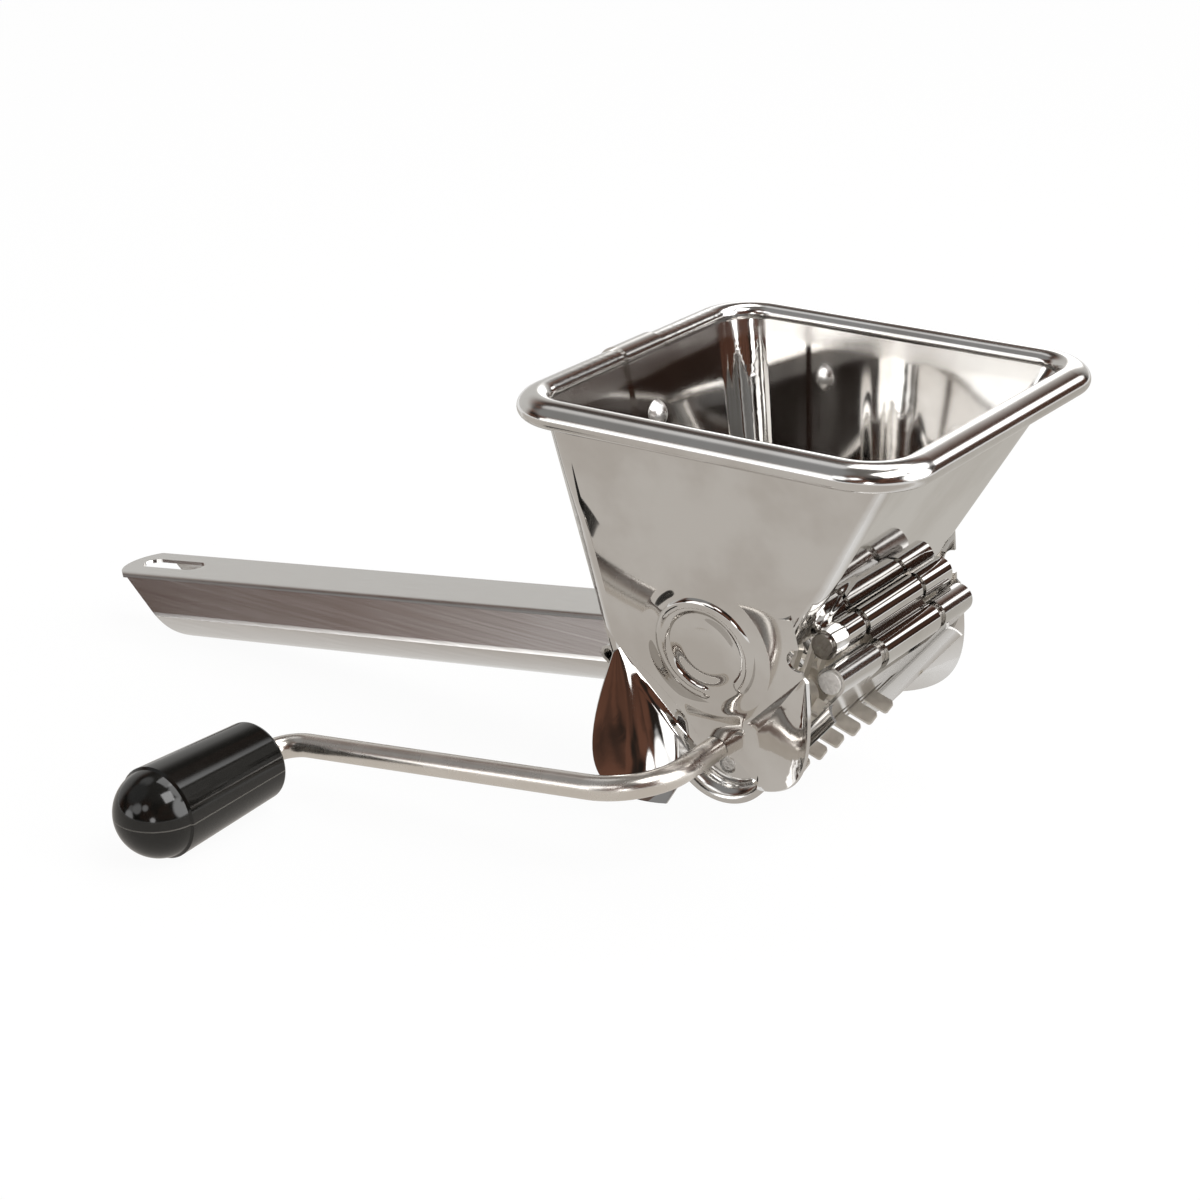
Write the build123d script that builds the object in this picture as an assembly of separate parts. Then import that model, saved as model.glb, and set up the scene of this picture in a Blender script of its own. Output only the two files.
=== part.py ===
from build123d import *
import os
from math import sin, cos, atan2, acos, hypot, radians, degrees, pi

# Rotary mill: a sheet-steel hopper with a rolled rim, a hinged slotted grate under it, a tined
# rotor on a bent crank rod between the two, and a folded channel handle.
# Built about the middle of the rim, +Z up, crank shaft along Y, handle towards -X;
# at the end every piece is moved so that the origin is the middle of the underside of the whole.

# hopper
sheet = 0.7
rim_width = 83.0
rim_depth = 80.2
rim_corner = 10.5
bead_radius = 3.1
bead_wide = 3.3
bead_tall = 2.5
bead_tilt = 22.0
bead_opening = 32.0
slope_left = 0.198
slope_right = 0.583
slope_ends = 0.154
wall_corner = 7.0
throat_corner = 5.0
left_wall_depth = 56.0
right_wall_depth = 41.0
lap_width = 12.5
lap_front = -5.5
lap_bead = 0.45

# stiffening bead pressed into the front wall
ring_x = -3.7
ring_z = -45.0
ring_radius = 9.7
ring_bead = 2.0
ring_height = 0.9
ring_gap_start = 262.0
ring_gap = 58.0

# shaft and rotor
shaft_x = -3.2
shaft_z = -67.0
rod_dia = 5.0
shaft_clearance = 0.08
rod_rear_end = 31.0
arm_y = -52.5
arm_length = 90.5
arm_angle = 187.4
shaft_bend = 13.0
knob_bend = 6.0
tine_count = 6
tine_arms = 4
tine_pitch = 6.65
tine_reach = 15.0
tine_width = 3.0
tine_thick = 1.0
tine_twist = 37.0
tine_angle = -18.0
tine_corner = 0.7
hub_radius = 4.2
hub_length = 3.0

# knob
knob_base = 9.8
knob_length = 29.2
knob_dome = 8.2
knob_inner_radius = 8.5
knob_outer_radius = 9.7
knob_shoulder = 0.5
knob_bore_depth = 25.0
knob_clearance = 0.08

# hinge
upper_pin_x = 17.2
upper_pin_z = -42.5
lower_pin_x = 21.4
lower_pin_z = -47.8
pin_radius = 2.3
pin_clearance = 0.05
pin_stub = 0.6
link_wall = 0.85
link_web = 3.0
link_gap = 0.4
link_front = -9.0
link_rear = 12.0
knuckle_gap = 1.6
hopper_knuckle = 11.0

# grate
grate_sheet = 0.65
grate_half = 25.7
trough_radius = 9.4
latch_x = -32.5
latch_z = -55.5
latch_radius = 1.7
latch_wrap = 265.0
knuckle_wrap = 285.0
flare_radius = 3.0
flare_stop = 5.5
slot_width = 3.6
slot_clearance = 0.6
slot_extra = 3.6
cheek_clearance = 0.35

# end walls below the hopper and the wings beside the shaft
apron_left_top = -36.0
apron_left_inset = 6.0
apron_right_top = -34.0
apron_right_inset = 3.0
apex_left_x = -20.8
apex_left_z = 17.7
apex_right_x = 21.4
apex_right_z = 21.0
notch_half = 4.2
notch_drop = 1.2
wing_left = 22.0
wing_left_fan = 0.22
wing_right = 12.5
wing_right_fan = 0.0
wing_left_flare = 6.5
wing_right_flare = 4.0

# handle
handle_sheet = 0.8
handle_width = 16.0
handle_depth = 16.5
handle_round = 7.0
handle_mouth = 6.0
handle_slope = 8.1
handle_z = -52.4
handle_splay = 0.8
handle_start = 8.5
handle_side_end = 154.0
handle_nose = 5.5
handle_end_rake = 13.0
handle_start_round = 10.0
flange_height = 9.5
flange_width = 14.0
hang_slot_length = 18.5
hang_slot_width = 5.6
hang_slot_edge = 4.2

# rivets
seam_rivet_y = 1.0
seam_rivet_z = -12.0
seam_head = 3.0
seam_head_height = 1.6
handle_rivet_y = 4.0
handle_rivet_z = -48.0
handle_head = 2.6
handle_head_height = 1.3
rivet_shank = 1.5

rod_radius = rod_dia / 2
half_x = rim_width / 2 - bead_radius
half_y = rim_depth / 2 - bead_radius


def wall_left(z, inset=0.0):
    return -(half_x + sheet) - slope_left * z + inset


def wall_right(z, inset=0.0):
    return half_x + sheet + slope_right * z - inset


def wall_end(z, inset=0.0):
    return half_y + sheet + slope_ends * z - inset


def funnel(inset, top, bottom):
    def level(z, radius):
        low, high = wall_left(z, inset), wall_right(z, inset)
        end = wall_end(z, inset)
        return Pos((low + high) / 2, 0, z) * RectangleRounded(high - low, 2 * end, radius - inset)
    return loft([level(bottom, throat_corner), level(top, wall_corner)])


def prism(points, y_low, y_high):
    # closed outline in the XZ plane, drawn out along Y from y_low to y_high
    face = make_face(Plane.XZ.offset(-y_low) * Polyline(*points, close=True))
    return extrude(face, y_high - y_low, dir=(0, 1, 0))


def disc(x, z, radius, y_low, y_high):
    return Pos(x, (y_low + y_high) / 2, z) * Rot(90, 0, 0) * Cylinder(radius, y_high - y_low)


def curl(x, z, inner, outer, start, wrap, y_low, y_high):
    # rolled edge of a sheet: part of a tube about a line along Y
    ring = disc(x, z, outer, y_low, y_high) - disc(x, z, inner, y_low - 1, y_high + 1)
    far = 3 * outer
    steps = 8
    angles = [radians(start + wrap + (360 - wrap) * i / steps) for i in range(steps + 1)]
    open_side = [(x, z)] + [(x + far * cos(a), z + far * sin(a)) for a in angles]
    return ring - prism(open_side, y_low - 1, y_high + 1)


# hopper: four walls of one sheet wrapped round, lapped on the left wall
deep = -60.0
shell = funnel(0, 0, deep) - funnel(sheet, 0, deep)
lap = funnel(sheet, 0, deep) - funnel(2 * sheet, 0, deep)
lap &= Pos(-rim_width / 2, lap_front + lap_width / 2, deep / 2) * Box(rim_width, lap_width, -deep)
shell += lap
step_x = (wall_left(-left_wall_depth) + wall_right(-right_wall_depth)) / 2
below = [(-90, -left_wall_depth), (step_x, -left_wall_depth), (step_x, -right_wall_depth),
         (90, -right_wall_depth), (90, -110), (-90, -110)]
shell -= prism(below, -90, 90)

# rolled rim, turned outwards
rim_path = RectangleRounded(rim_width, rim_depth, rim_corner).wire()
start = rim_path @ 0
outward = Vector(0, 1 if start.Y > 0 else -1, 0) if abs(start.Y) > rim_depth / 2 - 0.1 else \
    Vector(1 if start.X > 0 else -1, 0, 0)
rim_plane = Plane(origin=start, x_dir=outward, z_dir=rim_path % 0)
up = 1 if rim_plane.y_dir.Z > 0 else -1
gap_from, gap_to = 180 + 6, 180 + 6 + bead_opening
gap_points = [(0, 0)]
for i in range(5):
    a = radians(gap_from + (gap_to - gap_from) * i / 4)
    gap_points.append((9 * cos(a), 9 * up * sin(a)))
section = Ellipse(bead_wide, bead_tall) - Ellipse(bead_wide - sheet, bead_tall - sheet)
section = Rot(0, 0, -up * bead_tilt) * section - make_face(Polyline(*gap_points, close=True))
rim = sweep(rim_plane * section, path=rim_path)
shell += rim
lap_plane = Plane(origin=(-rim_width / 2, lap_front, 0), x_dir=(-1, 0, 0), z_dir=(0, 1, 0))
lap_section = Ellipse(bead_wide + lap_bead, bead_tall + lap_bead) - Ellipse(bead_wide, bead_tall)
lap_section = Rot(0, 0, -bead_tilt) * lap_section & Pos(0, 10) * Rectangle(20, 20)
shell += extrude(lap_plane * lap_section, lap_width)

# front and rear walls run on below the side walls to carry the shaft, with two flared wings each
s_x, s_z = shaft_x, shaft_z
apex_l = (s_x + apex_left_x, s_z + apex_left_z)
apex_r = (s_x + apex_right_x, s_z + apex_right_z)
foot_l = (s_x - notch_half, s_z - notch_drop)
foot_r = (s_x + notch_half, s_z - notch_drop)
apron = [(wall_left(-left_wall_depth, apron_left_inset), apron_left_top), apex_l, foot_l,
         foot_r, apex_r, (wall_right(apron_right_top, apron_right_inset), apron_right_top)]
apron_face = prism(apron, -60, 60)


def end_slab(side):
    y_top, y_low = wall_end(0), wall_end(-100)
    outline = Polyline((side * y_top, 0), (side * y_low, -100), (side * (y_low - sheet), -100),
                       (side * (y_top - sheet), 0), close=True)
    return extrude(make_face(Plane.YZ * outline), 100, both=True)


def wing(apex, foot, reach, fan, flare, side):
    ax, az = apex
    bx, bz = foot
    length = hypot(bx - ax, bz - az)
    nx, nz = (bz - az) / length, -(bx - ax) / length
    if nz > 0:
        nx, nz = -nx, -nz
    rows = []
    across, along = 4, 7
    for i in range(along + 1):
        u = i / along
        width = reach * sin(pi * (0.03 + 0.72 * u)) * (1 - 0.12 * u ** 6)
        row = []
        for j in range(across + 1):
            v = -0.12 + 1.12 * j / across
            x = ax + (bx - ax) * u * (1 + fan * max(0, v)) + nx * width * v
            z = az + (bz - az) * u * (1 + fan * max(0, v)) + nz * width * v
            y = wall_end(z) - sheet / 2 + flare * (width / reach) * max(0, v) ** 2
            row.append(Vector(x, side * y, z))
        rows.append(row)
    return thicken(Face.make_surface_from_array_of_points(rows), sheet / 2, both=True)


for side in (-1, 1):
    shell += apron_face & end_slab(side)
    shell += wing(apex_l, foot_l, wing_left, wing_left_fan, wing_left_flare, side)
    shell += wing(apex_r, foot_r, wing_right, wing_right_fan, wing_right_flare, side)

notch_radius = rod_radius + shaft_clearance
shell -= disc(s_x, s_z, notch_radius, -70, 70)
shell -= prism([(s_x - notch_radius, s_z), (s_x + notch_radius, s_z),
                (s_x + notch_radius, s_z - 40), (s_x - notch_radius, s_z - 40)], -70, 70)

# horseshoe bead on the front wall
lean = degrees(atan2(slope_ends, 1))
ring_y = -wall_end(ring_z)
ring_sink = ring_bead - ring_height
ring_plane = Plane(origin=(ring_x, ring_y + ring_sink, ring_z), x_dir=(1, 0, 0),
                   z_dir=(0, -cos(radians(lean)), -sin(radians(lean))))
ring_arc = CenterArc((0, 0), ring_radius, ring_gap_start + ring_gap, 360 - ring_gap)
ring_path = ring_plane * ring_arc
ring_tube = sweep(Plane(origin=ring_path @ 0, z_dir=ring_path % 0) * Circle(ring_bead), path=ring_path)
for end in (0, 1):
    ring_tube += Pos(*(ring_path @ end)) * Sphere(ring_bead)
shell += ring_tube - funnel(sheet, 20, deep - 20)

# hopper knuckles: the lower edge of the right wall rolled outwards round the upper pin
bore = pin_radius + pin_clearance
knuckle_out = bore + sheet
right_lean = degrees(atan2(slope_right, 1))
upper_spans = ((link_front - knuckle_gap - hopper_knuckle, link_front - knuckle_gap),
               (link_rear + knuckle_gap, link_rear + knuckle_gap + hopper_knuckle))
pin_clear = disc(upper_pin_x, upper_pin_z, bore, -60, 60)
shell -= disc(upper_pin_x, upper_pin_z, bore + link_wall + link_gap,
              link_front - knuckle_gap, link_rear + knuckle_gap)
for low, high in upper_spans:
    tube = curl(upper_pin_x, upper_pin_z, bore, knuckle_out, 180 - right_lean - knuckle_wrap,
                knuckle_wrap, low, high)
    reach = Vector(cos(radians(180 - right_lean)), 0, sin(radians(180 - right_lean)))
    z_top = -right_wall_depth + 3
    leaf = prism([(wall_right(z_top), z_top), (wall_right(z_top, sheet), z_top),
                  (upper_pin_x + reach.X * knuckle_out, upper_pin_z + reach.Z * knuckle_out),
                  (upper_pin_x + reach.X * bore, upper_pin_z + reach.Z * bore)], low, high)
    shell += leaf + tube

# rivet holes in the left wall
def left_axis(z):
    lean_left = degrees(atan2(slope_left, 1))
    return Plane(origin=(wall_left(z), 0, z), x_dir=(0, 1, 0),
                 z_dir=(cos(radians(lean_left)), 0, sin(radians(lean_left))))


seam_plane = left_axis(seam_rivet_z)
rivet_plane = left_axis(handle_rivet_z)
shell -= seam_plane * Pos(seam_rivet_y, 0, 0) * Cylinder(rivet_shank, 12)
for y in (-handle_rivet_y, handle_rivet_y):
    shell -= rivet_plane * Pos(y, 0, 0) * Cylinder(rivet_shank, 12)
hopper_shell = shell - pin_clear


def dome(radius, height):
    ball = (radius ** 2 + height ** 2) / (2 * height)
    return Pos(0, 0, height - ball) * Sphere(ball) & Pos(0, 0, height / 2) * Cylinder(radius, height)


def rivet(grip, under, head, height):
    # shank from the outside at -under to the inside at grip, a domed head at each end
    body = Pos(0, 0, (grip - under) / 2) * Cylinder(rivet_shank, grip + under)
    body += Pos(0, 0, grip) * dome(head, height)
    return body + Pos(0, 0, -under) * Rot(180, 0, 0) * dome(head, height * 0.7)


seam_rivet = seam_plane * Pos(seam_rivet_y, 0, 0) * rivet(2 * sheet, 0, seam_head, seam_head_height)
handle_rivets = Compound(children=[
    rivet_plane * Pos(y, 0, 0) * rivet(sheet, handle_sheet, handle_head, handle_head_height)
    for y in (-handle_rivet_y, handle_rivet_y)])

# handle: folded channel, open below, with a flat tongue turned up and riveted to the left wall
rake = radians(handle_slope)
handle_plane = Plane(origin=(wall_left(handle_z), 0, handle_z), x_dir=(-cos(rake), 0, -sin(rake)),
                     z_dir=(-sin(rake), 0, cos(rake)))
half_w = handle_width / 2
splay = half_w + handle_splay
outer = make_face(Polyline((-half_w, 0), (half_w, 0), (splay, -handle_depth),
                           (-splay, -handle_depth), close=True))
outer = fillet(outer.vertices().group_by(Axis.Y)[0], handle_round)
outer = fillet(outer.vertices().group_by(Axis.Y)[-1], 1.2)
inner = offset(outer, -handle_sheet)
channel = outer - inner - Pos(0, -handle_depth) * Rectangle(handle_mouth, 4 * handle_sheet)
length = handle_side_end + handle_nose
tube = extrude(Plane(origin=(0, 0, 0), x_dir=(0, 1, 0), z_dir=(1, 0, 0)) * channel, length)
side_view = make_face(Polyline((0, 1), (length, 1), (length, -handle_sheet * 1.5),
                               (handle_side_end, -handle_sheet * 1.5),
                               (handle_side_end - handle_end_rake, -handle_depth),
                               (handle_start, -handle_depth), (handle_start, -handle_sheet),
                               (0, -handle_sheet), close=True))
low_corners = side_view.vertices().sort_by(Axis.Y)[:2].sort_by(Axis.X)
side_view = fillet(low_corners[0], handle_start_round)
side_view = fillet(side_view.vertices().sort_by(Axis.Y)[0:3].sort_by(Axis.X)[-1], handle_start_round)
tube &= extrude(Plane.XZ * side_view, handle_width, both=True)
nose_arc = ThreePointArc((handle_side_end, splay), (length, 0), (handle_side_end, -splay))
plan = make_face([Line((-3, -splay), (handle_side_end, -splay)), nose_arc,
                  Line((handle_side_end, splay), (-3, splay)), Line((-3, splay), (-3, -splay))])
tube &= extrude(plan, 60, both=True)
slot_mid = length - hang_slot_edge - hang_slot_length / 2
hang_slot = Pos(slot_mid, 0) * SlotOverall(hang_slot_length, hang_slot_width)
tube -= extrude(hang_slot, 3 * handle_sheet, both=True)
handle = handle_plane * tube
flange_top = handle_z + flange_height
flange_low = handle_z - handle_sheet
flange = [(wall_left(flange_low), flange_low), (wall_left(flange_top), flange_top),
          (wall_left(flange_top) - handle_sheet, flange_top),
          (wall_left(handle_z) - 2 * handle_sheet, flange_low)]
handle += prism(flange, -flange_width / 2, flange_width / 2)
handle -= prism([(wall_left(-30), -30), (wall_left(-70), -70), (20, -70), (20, -30)], -40, 40)
for y in (-handle_rivet_y, handle_rivet_y):
    handle -= rivet_plane * Pos(y, 0, 0) * Cylinder(rivet_shank, 12)

# hinge: two pins and the double-barrelled link between them
upper_pin = disc(upper_pin_x, upper_pin_z, pin_radius,
                 upper_spans[0][0] - pin_stub, upper_spans[1][1] + pin_stub)
lower_pin = disc(lower_pin_x, lower_pin_z, pin_radius,
                 -grate_half - pin_stub, grate_half + pin_stub)
link_radius = bore + link_wall
link = disc(upper_pin_x, upper_pin_z, link_radius, link_front, link_rear)
link += disc(lower_pin_x, lower_pin_z, link_radius, link_front, link_rear)
span = hypot(lower_pin_x - upper_pin_x, lower_pin_z - upper_pin_z)
across_x = (upper_pin_z - lower_pin_z) / span * link_web / 2
across_z = (lower_pin_x - upper_pin_x) / span * link_web / 2
web = [(upper_pin_x - across_x, upper_pin_z - across_z), (lower_pin_x - across_x, lower_pin_z - across_z),
       (lower_pin_x + across_x, lower_pin_z + across_z), (upper_pin_x + across_x, upper_pin_z + across_z)]
link += prism(web, link_front, link_rear)
link -= disc(upper_pin_x, upper_pin_z, bore, link_front - 1, link_rear + 1)
link -= disc(lower_pin_x, lower_pin_z, bore, link_front - 1, link_rear + 1)

# grate: one sheet, a trough round the shaft between two straight leaves, rolled edges and flared ends
t = grate_sheet
r_out, r_in = trough_radius, trough_radius - t


def leaf_normal(x, z, radius, side):
    # direction of the outside of the leaf that touches the trough and the rolled edge alike
    px, pz = x - s_x, z - s_z
    return degrees(atan2(pz, px)) + side * degrees(acos((r_out - radius) / hypot(px, pz)))


lower_out = bore + t
n_right = leaf_normal(lower_pin_x, lower_pin_z, lower_out, -1)
n_left = leaf_normal(latch_x, latch_z, latch_radius, 1) - 360


def on_leaf(normal, depth, run):
    a = radians(normal)
    side = 1 if cos(a) > 0 else -1
    return (s_x + depth * cos(a) - side * run * sin(a), s_z + depth * sin(a) + side * run * cos(a))


def leaf_run(x, z, radius):
    return (hypot(x - s_x, z - s_z) ** 2 - (r_out - radius) ** 2) ** 0.5


run_right = leaf_run(lower_pin_x, lower_pin_z, lower_out)
run_left = leaf_run(latch_x, latch_z, latch_radius)
n_middle = (n_right + n_left) / 2


def trough_face(depth_out, depth_in, top_right, top_left):
    edges = []
    for depth in (depth_out, depth_in):
        a, b = on_leaf(n_right, depth, top_right), on_leaf(n_right, depth, 0)
        m = on_leaf(n_middle, depth, 0)
        c, d = on_leaf(n_left, depth, 0), on_leaf(n_left, depth, top_left)
        edges += [Line(a, b), ThreePointArc(b, m, c), Line(c, d)]
    edges.append(Line(on_leaf(n_right, depth_out, top_right), on_leaf(n_right, depth_in, top_right)))
    edges.append(Line(on_leaf(n_left, depth_out, top_left), on_leaf(n_left, depth_in, top_left)))
    return make_face(edges)


flare_y = grate_half - flare_radius - t
grate = extrude(Plane.XZ * trough_face(r_out, r_in, run_right, run_left), flare_y, both=True)
top_band = run_right - flare_stop
inner_front = link_front - 1.5 * knuckle_gap
inner_rear = link_rear + 1.5 * knuckle_gap
for y_low, y_high in ((-grate_half, inner_front), (inner_rear, grate_half)):
    grate += curl(lower_pin_x, lower_pin_z, bore, lower_out, n_right, knuckle_wrap, y_low, y_high)
    strip = [on_leaf(n_right, r_out, run_right), on_leaf(n_right, r_in, run_right),
             on_leaf(n_right, r_in, top_band), on_leaf(n_right, r_out, top_band)]
    grate += prism(strip, y_low, y_high)
clear = [on_leaf(n_right, r_out + 3, run_right + 9), on_leaf(n_right, r_in - 5, run_right + 9),
         on_leaf(n_right, r_in - 5, top_band), on_leaf(n_right, r_out + 3, top_band)]
grate -= prism(clear, inner_front, inner_rear)
grate += curl(latch_x, latch_z, latch_radius - t, latch_radius, n_left + 360 - latch_wrap, latch_wrap,
              -flare_y, flare_y)

# flared lip round both ends, swept along the outside of the trough
lip_ends = [on_leaf(n_right, r_out, run_right - flare_stop), on_leaf(n_right, r_out, 0),
            on_leaf(n_middle, r_out, 0), on_leaf(n_left, r_out, 0),
            on_leaf(n_left, r_out, run_left - flare_stop)]
lip = [Vector(x, 0, z) for x, z in lip_ends]
lip_path = Wire([Edge.make_line(lip[0], lip[1]), Edge.make_three_point_arc(lip[1], lip[2], lip[3]),
                 Edge.make_line(lip[3], lip[4])])
a = radians(n_right)
for side in (-1, 1):
    path = Pos(0, side * flare_y, 0) * lip_path
    lip_plane = Plane(origin=path @ 0, x_dir=(cos(a), 0, sin(a)), z_dir=path % 0)
    y_sign = 1 if lip_plane.y_dir.Y * side > 0 else -1
    quarter = Pos(flare_radius, 0) * (Circle(flare_radius + t) - Circle(flare_radius))
    quarter &= Pos(flare_radius - 10, y_sign * 10) * Rectangle(20, 20)
    grate += sweep(lip_plane * quarter, path=path)

# low end cheeks under the shaft
cheek_top = s_z - rod_radius - cheek_clearance
bowl = make_face([Line(on_leaf(n_right, r_in, 12), on_leaf(n_right, r_in, 0)),
                  ThreePointArc(on_leaf(n_right, r_in, 0), on_leaf(n_middle, r_in, 0),
                                on_leaf(n_left, r_in, 0)),
                  Line(on_leaf(n_left, r_in, 0), on_leaf(n_left, r_in, 12)),
                  Line(on_leaf(n_left, r_in, 12), on_leaf(n_right, r_in, 12))])
cheeks = []
for side in (-1, 1):
    cheek = extrude(Plane.XZ.offset(-side * (flare_y - t / 2)) * bowl, t / 2, both=True)
    cheeks.append(cheek - Pos(s_x, 0, cheek_top + 50) * Box(200, 200, 100))

# one slot for each ring of tines
slot_y = [(i - (tine_count - 1) / 2) * tine_pitch for i in range(tine_count)]
for y in slot_y:
    swept = disc(s_x, s_z, tine_reach + slot_clearance, y - slot_width / 2, y + slot_width / 2)
    wide = disc(s_x, s_z, tine_reach + slot_clearance + slot_extra, y - slot_width / 2, y + slot_width / 2)
    grate -= swept
    grate -= wide & Pos(s_x - 50, 0, s_z) * Box(100, 200, 100)

# crank rod, bent twice, tines on it and the knob on its end
turn = radians(arm_angle)
along = Vector(cos(turn), 0, sin(turn))
corner = Vector(s_x, arm_y, s_z)
end_axis = corner + along * arm_length
front = Vector(0, -1, 0)
pin_end = end_axis + front * (knob_base + knob_bore_depth - 1)
rod_edges = [Line(Vector(s_x, rod_rear_end, s_z), corner - front * shaft_bend),
             TangentArc(corner - front * shaft_bend, corner + along * shaft_bend, tangent=front),
             Line(corner + along * shaft_bend, end_axis - along * knob_bend),
             TangentArc(end_axis - along * knob_bend, end_axis + front * knob_bend, tangent=along),
             Line(end_axis + front * knob_bend, pin_end)]
rod_path = Wire([e.edge() for e in rod_edges])
crank_rod = sweep(Plane(origin=rod_path @ 0, z_dir=rod_path % 0) * Circle(rod_radius), path=rod_path)


def star(y):
    body = disc(s_x, s_z, hub_radius, y - hub_length / 2, y + hub_length / 2)
    blank = Pos((tine_reach + 2) / 2, 0) * Rectangle(tine_reach - 2, tine_width)
    blank = fillet(blank.vertices().group_by(Axis.X)[-1], tine_corner)
    tine = extrude(blank, tine_thick / 2, both=True)
    for i in range(tine_arms):
        angle = tine_angle + 360 * i / tine_arms
        body += Pos(s_x, y, s_z) * Rot(0, -angle, 0) * Rot(90 + tine_twist + 90, 0, 0) * tine
    return body - disc(s_x, s_z, rod_radius, y - 9, y + 9)


stars = [star(y) for y in slot_y]

knob_top = knob_base + knob_length
crown = knob_outer_radius - knob_shoulder
dome_ball = (crown ** 2 + knob_dome ** 2) / (2 * knob_dome)
half_turn = acos(1 - knob_dome / dome_ball) / 2
dome_low = knob_top + knob_shoulder
dome_top = dome_low + knob_dome
dome_mid = (dome_ball * sin(half_turn), dome_top - dome_ball + dome_ball * cos(half_turn))
edge = knob_inner_radius
profile = make_face([Line((0, knob_base), (edge - 1, knob_base)),
                     ThreePointArc((edge - 1, knob_base), (edge - 0.3, knob_base + 0.3),
                                   (edge, knob_base + 1)),
                     Line((edge, knob_base + 1), (knob_outer_radius, knob_top)),
                     Line((knob_outer_radius, knob_top), (crown, dome_low)),
                     ThreePointArc((crown, dome_low), dome_mid, (0, dome_top)),
                     Line((0, dome_top), (0, knob_base))])
knob = revolve(profile, Axis.Y)
knob_bore = Rot(90, 0, 0) * Cylinder(rod_radius + knob_clearance, knob_bore_depth)
knob -= Pos(0, knob_base + knob_bore_depth / 2, 0) * knob_bore
seat = Pos(0, knob_top + 50, 0) * Box(100, 100, 100)
knob_cap = Pos(*end_axis) * Rot(180, 0, 0) * (knob & seat)
knob = Pos(*end_axis) * Rot(180, 0, 0) * (knob - seat)

nodes = {"hopper_shell": hopper_shell, "seam_rivet": seam_rivet,
         "handle": handle, "handle_rivets": handle_rivets,
         "hinge_pin_upper": upper_pin, "hinge_link": link, "hinge_pin_lower": lower_pin, "grate": grate,
         "grate_cheek_front": cheeks[0], "grate_cheek_rear": cheeks[1],
         "crank_rod": crank_rod, "knob": knob, "knob_cap": knob_cap}
for i, piece in enumerate(stars):
    nodes[f"tine_star_{i + 1}"] = piece

# origin under the middle of the whole
box = Compound(children=[Compound(p.solids()) for p in nodes.values()]).bounding_box()
move = Pos(-(box.min.X + box.max.X) / 2, -(box.min.Y + box.max.Y) / 2, -box.min.Z)
os.makedirs("parts", exist_ok=True)
for name, piece in nodes.items():
    solids = piece.solids()
    shape = solids[0] if len(solids) == 1 else Compound(children=list(solids))
    export_step(move * shape, f"parts/{name}.step")
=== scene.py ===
import bpy
from mathutils import Matrix, Vector


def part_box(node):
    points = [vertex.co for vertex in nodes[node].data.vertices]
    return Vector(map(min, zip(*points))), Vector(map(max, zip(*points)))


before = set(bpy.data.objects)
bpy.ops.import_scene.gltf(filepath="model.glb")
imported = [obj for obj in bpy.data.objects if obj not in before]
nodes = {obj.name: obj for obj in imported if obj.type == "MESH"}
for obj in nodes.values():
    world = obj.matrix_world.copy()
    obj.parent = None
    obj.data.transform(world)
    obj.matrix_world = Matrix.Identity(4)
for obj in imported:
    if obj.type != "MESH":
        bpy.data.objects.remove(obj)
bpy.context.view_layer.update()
bpy.ops.object.select_all(action="DESELECT")


class Sock:
    """A shader socket with arithmetic; node() adds any other node and returns one of its outputs."""

    def __init__(self, tree, socket):
        self.tree, self.socket = tree, socket

    def node(self, kind, output, values=None, **settings):
        made = self.tree.nodes.new(kind)
        for key, value in settings.items():
            setattr(made, key, value)
        for key, value in (values or {}).items():
            if isinstance(value, Sock):
                self.tree.links.new(value.socket, made.inputs[key])
            else:
                made.inputs[key].default_value = value
        return Sock(self.tree, made.outputs[output])

    def maths(self, operation, other=0.0):
        return self.node("ShaderNodeMath", 0, {0: self, 1: other}, operation=operation)

    def __add__(self, other):
        return self.maths("ADD", other)

    def __sub__(self, other):
        return self.maths("SUBTRACT", other)

    def __rsub__(self, other):
        return self.node("ShaderNodeMath", 0, {0: other, 1: self}, operation="SUBTRACT")

    def __mul__(self, other):
        return self.maths("MULTIPLY", other)

    def __lt__(self, other):
        return self.maths("LESS_THAN", other)

    __radd__, __rmul__ = __add__, __mul__

    def ramp(self, start, end, low=0.0, high=1.0):
        return self.node("ShaderNodeMapRange", 0, {0: self, 1: start, 2: end, 3: low, 4: high},
                         interpolation_type="SMOOTHSTEP")

    def axis(self, name):
        return self.node("ShaderNodeSeparateXYZ", name, {0: self})

    def mix(self, first, second):
        return self.node("ShaderNodeMix", 2, {0: self, 6: first, 7: second}, data_type="RGBA")

    def noise(self, scale, detail, **more):
        return self.node("ShaderNodeTexNoise", 0, {"Vector": self, "Scale": scale, "Detail": detail, **more})

    def bump(self, strength, distance):
        return self.node("ShaderNodeBump", 0, {"Height": self, "Strength": strength, "Distance": distance})


# Hopper: one stainless sheet wrapped into a funnel with a rolled rim and polished to a mirror.
# Pressing the lower front wall, its ring bead and the flared wings drew the sheet out of true, which the
# reflections show; buffing leaves a faint haze, and the rolled rim stays a little duller.
steel = bpy.data.materials.new("polished_steel")
steel.use_nodes = True
bsdf = steel.node_tree.nodes["Principled BSDF"]
place = Sock(steel.node_tree, steel.node_tree.nodes.new("ShaderNodeTexCoord").outputs["Object"])
across, depth, up = place.axis("X"), place.axis("Y"), place.axis("Z")
haze = place.noise(38.0, 4.0, Roughness=0.55)
drawn = place.node("ShaderNodeMapping", 0, {"Vector": place, "Scale": (900.0, 900.0, 45.0)})
scratch = drawn.noise(1.0, 3.0)
tone = haze.ramp(0.36, 0.64).mix((0.60, 0.58, 0.555, 1), (0.70, 0.69, 0.675, 1))
front = depth.ramp(0.012, 0.006)
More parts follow.
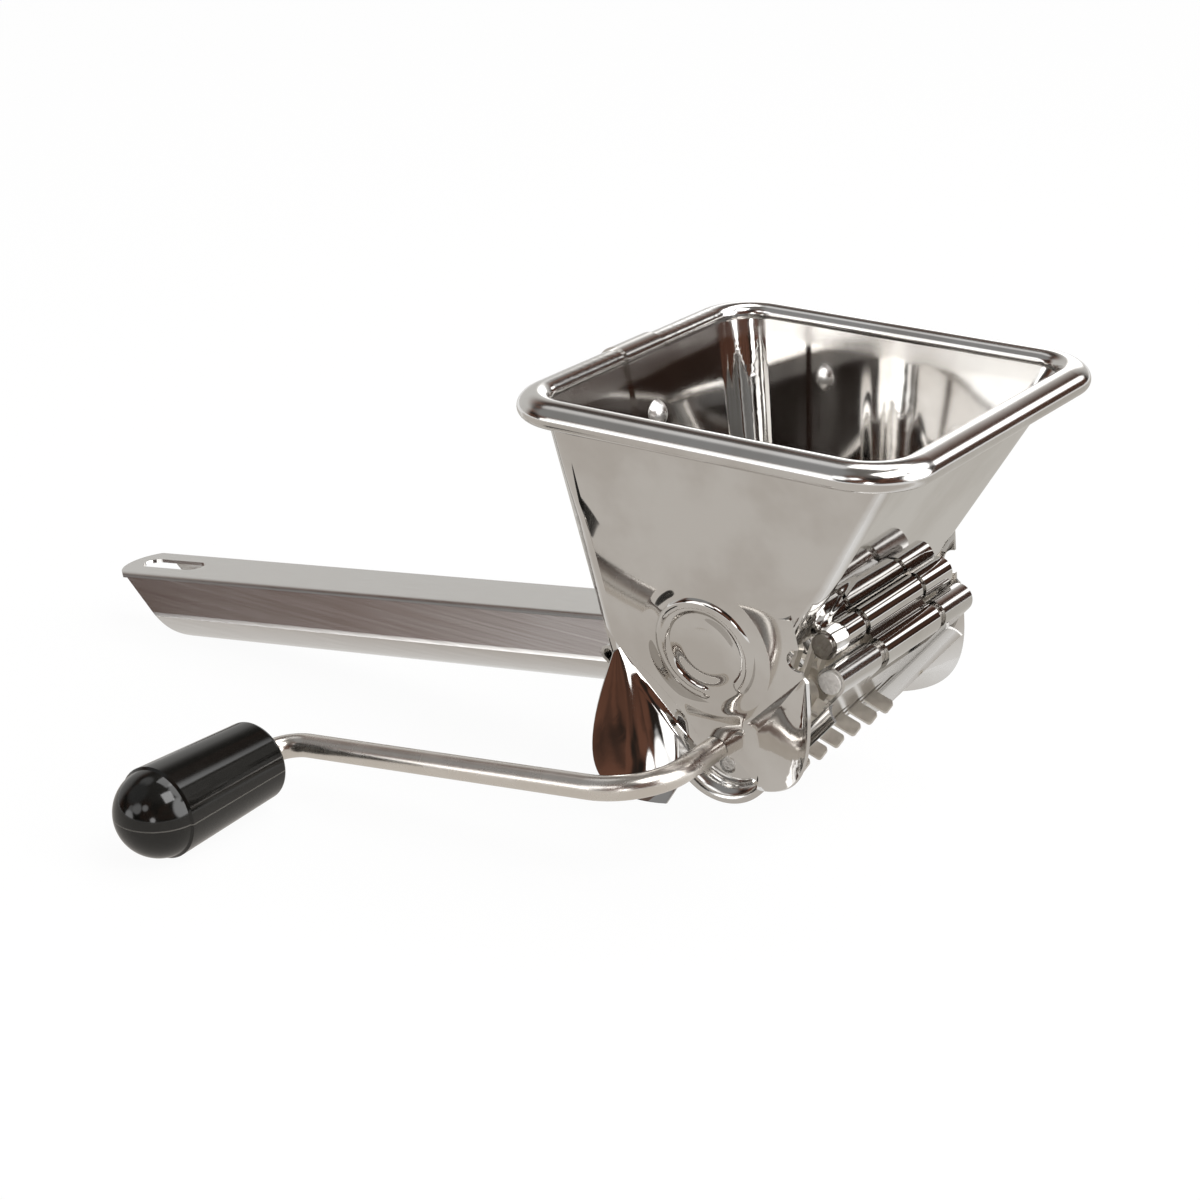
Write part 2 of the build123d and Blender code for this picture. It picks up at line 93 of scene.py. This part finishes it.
# below a crease that rises to the left, the front wall leans in a little more
crease_x, crease_z, crease_curve = 0.0600, 0.0585, 29.0
sag_slope, sag_round = -0.13, 0.005
edge = (crease_x - across).maths("MAXIMUM")
under = edge * edge * crease_curve - up + crease_z
sag = under.node("ShaderNodeMath", 0, {0: under, 1: 0.0, 2: sag_round}, operation="SMOOTH_MAX") * sag_slope
# the pressed ring lifts the sheet round it, and so does the notch for the shaft
ring_x, ring_z, ring_radius, ring_rise = 0.0673, 0.0434, 0.0097, 0.0008
ring_across, ring_up = across - ring_x, up - ring_z
ring_gap = (ring_across * ring_across + ring_up * ring_up).maths("SQRT") - ring_radius
shoulder = ring_gap.maths("ABSOLUTE").ramp(0.0050, 0.0008) * ring_rise
notch_x, notch_rise = 0.0680, 0.0014
beside = (across - notch_x).maths("ABSOLUTE").ramp(0.0100, 0.0060)
lip = up.ramp(0.0315, 0.0255) * beside * notch_rise
# the wings turn out along two folds, the left one as a spoon that flattens towards the shaft
left_x, left_z, left_slope = 0.0470, 0.0390, 0.82
spoon_x, spoon_end, spoon_curve = 0.0475, 0.0660, 40.0
right_x, right_z, right_slope = 0.0892, 0.0424, 0.25
from_left = ((left_x - across) * 0.75 + (left_z - up) * 0.66).maths("MAXIMUM")
spoon = (across - spoon_x).maths("MAXIMUM")
dish = from_left * left_slope
dish = dish + spoon * spoon * from_left.ramp(0.0, 0.003) * (across < spoon_end) * spoon_curve
from_right = ((across - right_x) * 0.70 + (right_z - up) * 0.71).maths("MAXIMUM")
dish = dish + from_right * right_slope
wave_height = 0.00022
relief = front * (sag + shoulder + lip + dish) + place.noise(30.0, 1.0) * wave_height
rolled = up.ramp(0.0835, 0.0855)
polish = haze * 0.04 + scratch * 0.02 + rolled * 0.10 + 0.015
steel.node_tree.links.new(tone.socket, bsdf.inputs["Base Color"])
steel.node_tree.links.new(polish.socket, bsdf.inputs["Roughness"])
steel.node_tree.links.new(relief.bump(1.0, 1.0).socket, bsdf.inputs["Normal"])
bsdf.inputs["Metallic"].default_value = 1.0
nodes["hopper_shell"].data.materials.clear()
nodes["hopper_shell"].data.materials.append(steel)

# Seam and handle rivets: soft steel, closed with a domed set that leaves a dull, slightly beaten head.
# They hold the lap of the hopper's sheet and the handle's tongue.
beaten = bpy.data.materials.new("rivet_steel")
beaten.use_nodes = True
bsdf = beaten.node_tree.nodes["Principled BSDF"]
place = Sock(beaten.node_tree, beaten.node_tree.nodes.new("ShaderNodeTexCoord").outputs["Object"])
dents = place.noise(900.0, 3.0)
tone = dents.mix((0.55, 0.54, 0.52, 1), (0.82, 0.81, 0.80, 1))
beaten.node_tree.links.new(tone.socket, bsdf.inputs["Base Color"])
beaten.node_tree.links.new((dents * 0.2 + 0.2).socket, bsdf.inputs["Roughness"])
beaten.node_tree.links.new(dents.bump(0.25, 0.0004).socket, bsdf.inputs["Normal"])
bsdf.inputs["Metallic"].default_value = 1.0
for name in ("seam_rivet", "handle_rivets"):
    nodes[name].data.materials.clear()
    nodes[name].data.materials.append(beaten)

# Handle: stainless sheet folded into a channel and left satin, brushed along its length.
# The folded flanges are drawn slightly round, so they darken towards the top and shine along the lower bend.
satin = bpy.data.materials.new("satin_steel")
satin.use_nodes = True
bsdf = satin.node_tree.nodes["Principled BSDF"]
place = Sock(satin.node_tree, satin.node_tree.nodes.new("ShaderNodeTexCoord").outputs["Object"])
drawn = place.node("ShaderNodeMapping", 0, {"Vector": place, "Scale": (18.0, 1500.0, 1500.0)})
brushed = drawn.noise(1.0, 4.0)
haze = place.noise(25.0, 3.0)
tone = brushed.mix((0.60, 0.585, 0.565, 1), (0.70, 0.69, 0.675, 1))
# distance below the handle's flat top, which slopes down to the left
top_x, top_z, bend_depth, flange_slope, brush_height = 0.0416, 0.03596, 0.0102, 0.45, 0.000012
below = (place.axis("X") - top_x) * 0.1409 - (place.axis("Z") - top_z) * 0.990
relief = (below - bend_depth).maths("MINIMUM") * flange_slope + brushed * brush_height
satin.node_tree.links.new(tone.socket, bsdf.inputs["Base Color"])
satin.node_tree.links.new((haze * 0.10 + brushed * 0.06 + 0.13).socket, bsdf.inputs["Roughness"])
satin.node_tree.links.new(relief.bump(1.0, 1.0).socket, bsdf.inputs["Normal"])
bsdf.inputs["Metallic"].default_value = 1.0
nodes["handle"].data.materials.clear()
nodes["handle"].data.materials.append(satin)

# Hinge: drawn steel pins with rough sawn ends, and the polished double link rolled round them.
# The upper pin lies in the hopper's knuckles, the lower one in the grate's.
sawn = bpy.data.materials.new("pin_steel")
sawn.use_nodes = True
bsdf = sawn.node_tree.nodes["Principled BSDF"]
place = Sock(sawn.node_tree, sawn.node_tree.nodes.new("ShaderNodeTexCoord").outputs["Object"])
pin_low, pin_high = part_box("hinge_pin_lower")
pin_half = (pin_high.y - pin_low.y) / 2
stub = (place.axis("Y") - (pin_low.y + pin_high.y) / 2).maths("ABSOLUTE")
end_face = stub.ramp(pin_half - 0.0034, pin_half - 0.0030)
grain = place.noise(1400.0, 4.0)
tone = grain.mix((0.42, 0.40, 0.37, 1), (0.80, 0.78, 0.75, 1))
sawn.node_tree.links.new(tone.socket, bsdf.inputs["Base Color"])
sawn.node_tree.links.new((end_face * 0.25 + grain * 0.1 + 0.15).socket, bsdf.inputs["Roughness"])
sawn.node_tree.links.new((grain * end_face).bump(0.6, 0.0004).socket, bsdf.inputs["Normal"])
sawn.node_tree.links.new((1.0 - end_face * 0.7).socket, bsdf.inputs["Metallic"])
for name in ("hinge_pin_upper", "hinge_pin_lower"):
    nodes[name].data.materials.clear()
    nodes[name].data.materials.append(sawn)
nodes["hinge_link"].data.materials.clear()
nodes["hinge_link"].data.materials.append(steel)

# Grate: the same bright sheet, punched with slots and bent into a trough.
# Its low end cheeks are spot-welded in, and each carries the weld's rough round mark.
slotted = bpy.data.materials.new("grate_steel")
slotted.use_nodes = True
bsdf = slotted.node_tree.nodes["Principled BSDF"]
place = Sock(slotted.node_tree, slotted.node_tree.nodes.new("ShaderNodeTexCoord").outputs["Object"])
haze = place.noise(70.0, 4.0)
tone = haze.mix((0.57, 0.555, 0.535, 1), (0.68, 0.67, 0.655, 1))
cheek_low, cheek_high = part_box("grate_cheek_front")
weld_right, weld_drop, weld_rough, weld_rise = 0.0003, 0.0030, 0.0006, 0.0002
weld_x = place.axis("X") - (cheek_low.x + cheek_high.x) / 2 - weld_right
weld_z = place.axis("Z") - cheek_high.z + weld_drop
weld = (weld_x * weld_x + weld_z * weld_z).maths("SQRT").ramp(0.0020, 0.0012)
melt = place.noise(1600.0, 3.0)
relief = weld * melt * weld_rough + weld * weld_rise
slotted.node_tree.links.new(tone.socket, bsdf.inputs["Base Color"])
slotted.node_tree.links.new((haze * 0.14 + weld * 0.25 + 0.06).socket, bsdf.inputs["Roughness"])
slotted.node_tree.links.new(relief.bump(1.0, 1.0).socket, bsdf.inputs["Normal"])
bsdf.inputs["Metallic"].default_value = 1.0
for name in ("grate", "grate_cheek_front", "grate_cheek_rear"):
    nodes[name].data.materials.clear()
    nodes[name].data.materials.append(slotted)

# Rotor: a nickel-plated rod bent into the crank, with stamped and tumbled tine stars pressed on it.
# It runs in the notches of the hopper's end walls.
plated = bpy.data.materials.new("nickel_rod")
plated.use_nodes = True
bsdf = plated.node_tree.nodes["Principled BSDF"]
place = Sock(plated.node_tree, plated.node_tree.nodes.new("ShaderNodeTexCoord").outputs["Object"])
haze = place.noise(160.0, 4.0)
tone = haze.mix((0.70, 0.66, 0.61, 1), (0.84, 0.81, 0.77, 1))
plated.node_tree.links.new(tone.socket, bsdf.inputs["Base Color"])
plated.node_tree.links.new((haze * 0.14 + 0.20).socket, bsdf.inputs["Roughness"])
bsdf.inputs["Metallic"].default_value = 1.0
nodes["crank_rod"].data.materials.clear()
nodes["crank_rod"].data.materials.append(plated)
tumbled = bpy.data.materials.new("tumbled_steel")
tumbled.use_nodes = True
bsdf = tumbled.node_tree.nodes["Principled BSDF"]
place = Sock(tumbled.node_tree, tumbled.node_tree.nodes.new("ShaderNodeTexCoord").outputs["Object"])
grain = place.noise(700.0, 4.0)
tone = grain.mix((0.42, 0.385, 0.335, 1), (0.60, 0.56, 0.50, 1))
tumbled.node_tree.links.new(tone.socket, bsdf.inputs["Base Color"])
tumbled.node_tree.links.new((grain * 0.15 + 0.36).socket, bsdf.inputs["Roughness"])
tumbled.node_tree.links.new(grain.bump(0.3, 0.0002).socket, bsdf.inputs["Normal"])
bsdf.inputs["Metallic"].default_value = 1.0
for i in range(6):
    nodes[f"tine_star_{i + 1}"].data.materials.clear()
    nodes[f"tine_star_{i + 1}"].data.materials.append(tumbled)

# Knob: glossy black plastic that turns on the rod's end, with a domed cap of the same plastic.
# It is moulded in two halves, so a fine parting line runs along both sides; its lighter grey is a painted
# highlight, standing in for the glint its ridge catches.
moulded = bpy.data.materials.new("black_plastic")
moulded.use_nodes = True
bsdf = moulded.node_tree.nodes["Principled BSDF"]
place = Sock(moulded.node_tree, moulded.node_tree.nodes.new("ShaderNodeTexCoord").outputs["Object"])
knob_low, knob_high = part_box("knob")
parting_half = 0.00014
height = place.axis("Z") - (knob_low.z + knob_high.z) / 2
parting_line_glint = height.maths("ABSOLUTE") < parting_half
speck = place.noise(500.0, 3.0)
# black with faint random specks; along the parting line the lighter grey is a painted highlight, and the
# line is also a little rougher
tone = (parting_line_glint * 0.8 + speck * 0.04).mix((0.004, 0.004, 0.0035, 1), (0.10, 0.095, 0.085, 1))
moulded.node_tree.links.new(tone.socket, bsdf.inputs["Base Color"])
moulded.node_tree.links.new((speck * 0.05 + parting_line_glint * 0.2 + 0.08).socket, bsdf.inputs["Roughness"])
for name in ("knob", "knob_cap"):
    nodes[name].data.materials.clear()
    nodes[name].data.materials.append(moulded)

# Floor: a plain pale sheet under the object.
# It stays white to the camera and in the metal, and keeps a soft shadow.
bpy.ops.mesh.primitive_plane_add(size=8.0, location=(0, 0, 0))
floor = bpy.context.object
floor.name = "floor"
pale = bpy.data.materials.new("floor_pale")
pale.use_nodes = True
tree = pale.node_tree
bsdf = tree.nodes["Principled BSDF"]
bsdf.inputs["Base Color"].default_value = (0.93, 0.93, 0.93, 1)
bsdf.inputs["Roughness"].default_value = 0.9
path = tree.nodes.new("ShaderNodeLightPath")
seen = Sock(tree, path.outputs["Is Camera Ray"]) + Sock(tree, path.outputs["Is Glossy Ray"])
seen = seen + Sock(tree, path.outputs["Is Transmission Ray"])
glow_share = 0.95
glow = seen.node("ShaderNodeEmission", 0, {"Color": (1, 1, 1, 1), "Strength": 1.0})
both = seen.node("ShaderNodeMixShader", 0, {0: seen * glow_share, 1: Sock(tree, bsdf.outputs[0]), 2: glow})
tree.links.new(both.socket, tree.nodes["Material Output"].inputs["Surface"])
floor.data.materials.append(pale)

# Light: what the polished metal mirrors is a dim brown room with a pale backdrop behind the handle and white
# screens around it, each given by its direction, the cosines at which it is full and gone, and its level.
# The camera sees plain white instead. Two soft lamps hang overhead.
world = bpy.data.worlds.new("room")
bpy.context.scene.world = world
world.use_nodes = True
tree = world.node_tree
ground = tree.nodes["Background"]
aim = Sock(tree, tree.nodes.new("ShaderNodeTexCoord").outputs["Generated"])
rise = aim.axis("Z")
behind = (aim.axis("X") * -0.75 + aim.axis("Y") * 0.66).ramp(0.45, 0.72) * rise.ramp(0.68, 0.40)
clutter = aim.noise(2.4, 2.0).ramp(0.42, 0.62)
shade = clutter.mix((0.022, 0.017, 0.014, 1), (0.150, 0.068, 0.044, 1))
shade = rise.ramp(0.60, 0.90).mix(shade, (0.16, 0.15, 0.14, 1))
shade = behind.mix(shade, (0.68, 0.67, 0.65, 1))
screens = (
    ((-0.365, 0.903, 0.225), 0.9900, 0.9660, 2.4),
    ((0.904, 0.294, 0.309), 0.9400, 0.8830, 4.0),
    ((0.317, 0.871, 0.375), 0.9945, 0.9877, 2.4),
    ((0.447, 0.480, 0.755), 0.9700, 0.9270, 3.2),
    ((-0.524, -0.806, 0.276), 0.9945, 0.9850, 1.3),
    ((-0.282, -0.869, 0.407), 0.9877, 0.9700, 1.9),
    ((-0.498, 0.044, 0.866), 0.9900, 0.9610, 0.8),
    ((-0.570, -0.821, 0.030), 0.9900, 0.9700, 3.0),
    ((0.070, -0.852, 0.519), 0.9962, 0.9877, 2.5),
    ((0.460, -0.884, 0.080), 0.9962, 0.9914, 5.0),
    ((-0.520, -0.450, 0.726), 0.9660, 0.8660, 0.30),
)
for way, full, gone, level in screens:
    near = aim.node("ShaderNodeVectorMath", "Value", {0: aim, 1: way}, operation="DOT_PRODUCT")
    shade = near.ramp(gone, full).mix(shade, (level, level, level, 1))
seen = Sock(tree, tree.nodes.new("ShaderNodeLightPath").outputs["Is Camera Ray"])
shade = seen.mix(shade, (1, 1, 1, 1))
tree.links.new(shade.socket, ground.inputs["Color"])
ground.inputs["Strength"].default_value = 1.0
lamp_target = Vector((0.03, 0, 0.05))
for spot, size, power in (((0.50, -0.10, 0.75), 0.40, 3.2), ((0.00, 0.35, 1.00), 0.50, 2.4)):
    bpy.ops.object.light_add(type="AREA", location=spot)
    lamp = bpy.context.object
    lamp.data.size = size
    lamp.data.energy = power
    lamp.rotation_euler = (lamp_target - Vector(spot)).to_track_quat("-Z", "Y").to_euler()

# Studio cards: two warm grey sheets on the floor, before and behind the object.
# They are seen in the metal only, and fade out towards their edges.
card_height, fade_x, fade_y = 0.0004, 0.10, 0.05
for name, middle, size, tone in (("card_front", (-0.06, -0.30), (0.90, 0.70), (0.62, 0.585, 0.545, 1)),
                                 ("card_rear", (0.10, 0.34), (0.90, 0.62), (0.60, 0.575, 0.535, 1))):
    bpy.ops.mesh.primitive_plane_add(size=1.0, location=(middle[0], middle[1], card_height))
    card = bpy.context.object
    card.name = name
    card.scale = (size[0], size[1], 1.0)
    bpy.ops.object.transform_apply(location=False, rotation=False, scale=True)
    card.visible_camera = False
    card.visible_diffuse = False
    card.visible_shadow = False
    grey = bpy.data.materials.new(name)
    grey.use_nodes = True
    tree = grey.node_tree
    place = Sock(tree, tree.nodes.new("ShaderNodeTexCoord").outputs["Object"])
    edge_x, edge_y = place.axis("X").maths("ABSOLUTE"), place.axis("Y").maths("ABSOLUTE")
    in_x = place.node("ShaderNodeMapRange", 0, {0: edge_x, 1: size[0] / 2, 2: size[0] / 2 - fade_x})
    in_y = place.node("ShaderNodeMapRange", 0, {0: edge_y, 1: size[1] / 2, 2: size[1] / 2 - fade_y})
    glow = place.node("ShaderNodeEmission", 0, {"Color": tone, "Strength": 1.0})
    clear = place.node("ShaderNodeBsdfTransparent", 0)
    faded = place.node("ShaderNodeMixShader", 0, {0: in_x * in_y, 1: clear, 2: glow})
    tree.links.new(faded.socket, tree.nodes["Material Output"].inputs["Surface"])
    card.data.materials.append(grey)

# Camera: the photo's angle, fitted to the rim, the rod and the hinge.
# The matrix rows are the camera's right, up and backward directions.
bpy.ops.object.camera_add()
camera = bpy.context.object
camera.data.sensor_width = 36.0
camera.data.lens = 82.66
turn = Matrix((Vector((0.8209, 0.5710, -0.0159)), Vector((-0.2018, 0.3159, 0.9273)),
               Vector((0.5344, -0.7579, 0.3744)))).transposed().to_4x4()
turn.translation = Vector((0.331667, -0.411890, 0.250706))
camera.matrix_world = turn
camera.data.clip_start = 0.01
bpy.context.scene.camera = camera
bpy.context.scene.view_settings.view_transform = "Standard"
